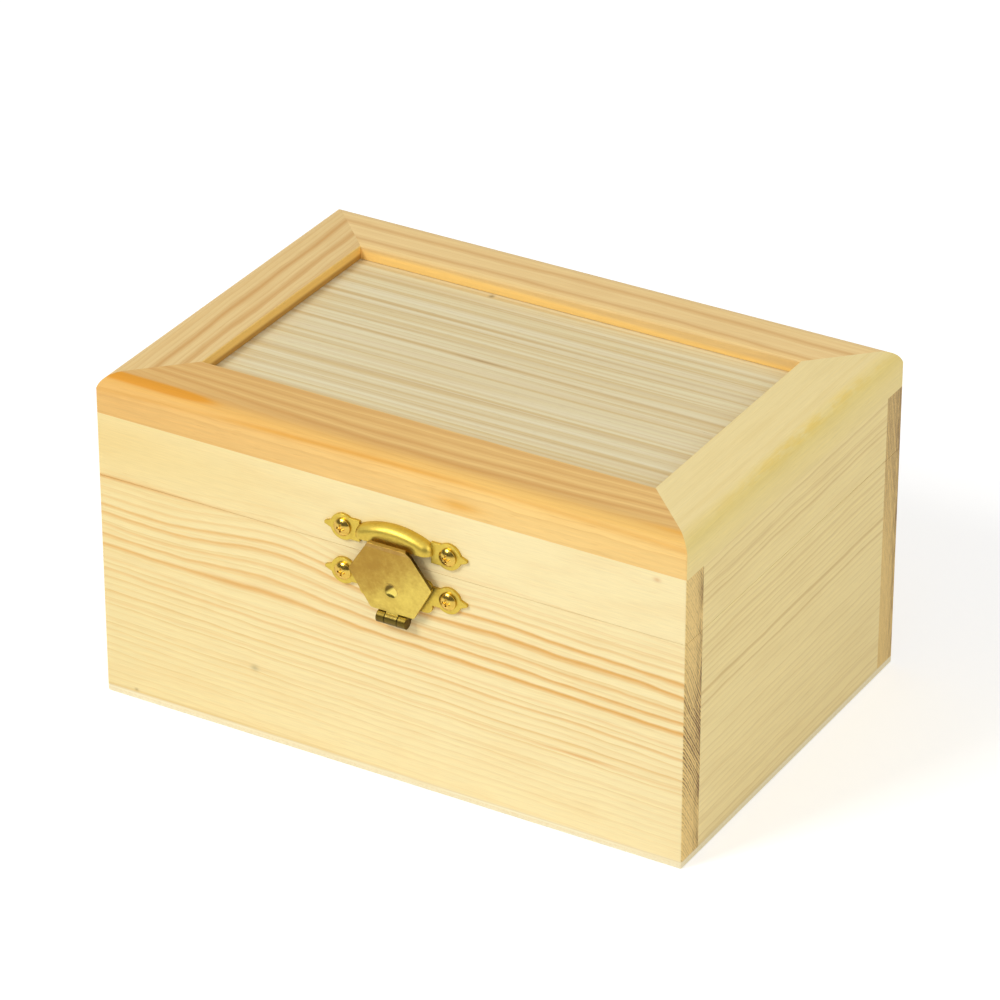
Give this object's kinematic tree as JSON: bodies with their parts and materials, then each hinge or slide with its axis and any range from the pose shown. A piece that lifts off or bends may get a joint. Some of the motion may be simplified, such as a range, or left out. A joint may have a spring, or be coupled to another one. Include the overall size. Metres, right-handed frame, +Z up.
{
  "type": "wooden box with hinged lid",
  "caption": "Small rectangular pine box with a framed, recessed lid panel, hinged at the back and held shut by a brass snap catch at the front, for papers and keepsakes.",
  "frame": {"origin": "middle of the underside, on the surface that the box stands on", "axes": "+X along the front towards the right, +Y from the front to the back, +Z up"},
  "size_m": [0.15, 0.1096, 0.082],
  "materials": {
    "pine_board": "bare planed pine",
    "pine_moulding": "bare moulded pine",
    "veneered_panel": "bare straight-grained veneer",
    "thin_plywood": "bare thin plywood",
    "brass": "satin stamped brass"
  },
  "bodies": {
    "box": {"front_board": "pine_board", "back_board": "pine_board", "left_end_board": "pine_board", "right_end_board": "pine_board", "bottom_panel": "thin_plywood", "left_hinge_body_leaf": "brass", "right_hinge_body_leaf": "brass", "left_hinge_pin": "brass", "right_hinge_pin": "brass", "hinge_body_screws": "brass", "catch_base_plate": "brass", "catch_pin": "brass", "catch_base_screws": "brass"},
    "lid": {"lid_front_strip": "pine_board", "lid_back_strip": "pine_board", "lid_left_strip": "pine_board", "lid_right_strip": "pine_board", "lid_front_moulding": "pine_moulding", "lid_right_moulding": "pine_moulding", "lid_back_moulding": "pine_moulding", "lid_left_moulding": "pine_moulding", "lid_panel": "veneered_panel", "left_hinge_lid_leaf": "brass", "right_hinge_lid_leaf": "brass", "hinge_lid_screws": "brass", "catch_keeper": "brass", "catch_keeper_screws": "brass"},
    "flap": {"catch_flap": "brass"}
  },
  "joints": [
    {"name": "lid_hinge", "type": "hinge", "parent": "box", "child": "lid", "pos_m": [0, 0.0526, 0.05675], "axis": [-1, 0, 0], "range_deg": [0, 180]},
    {"name": "catch_hinge", "type": "hinge", "parent": "box", "child": "flap", "pos_m": [0.0033, -0.0528, 0.043], "axis": [1, 0, 0], "range_deg": [0, 175]}
  ]
}
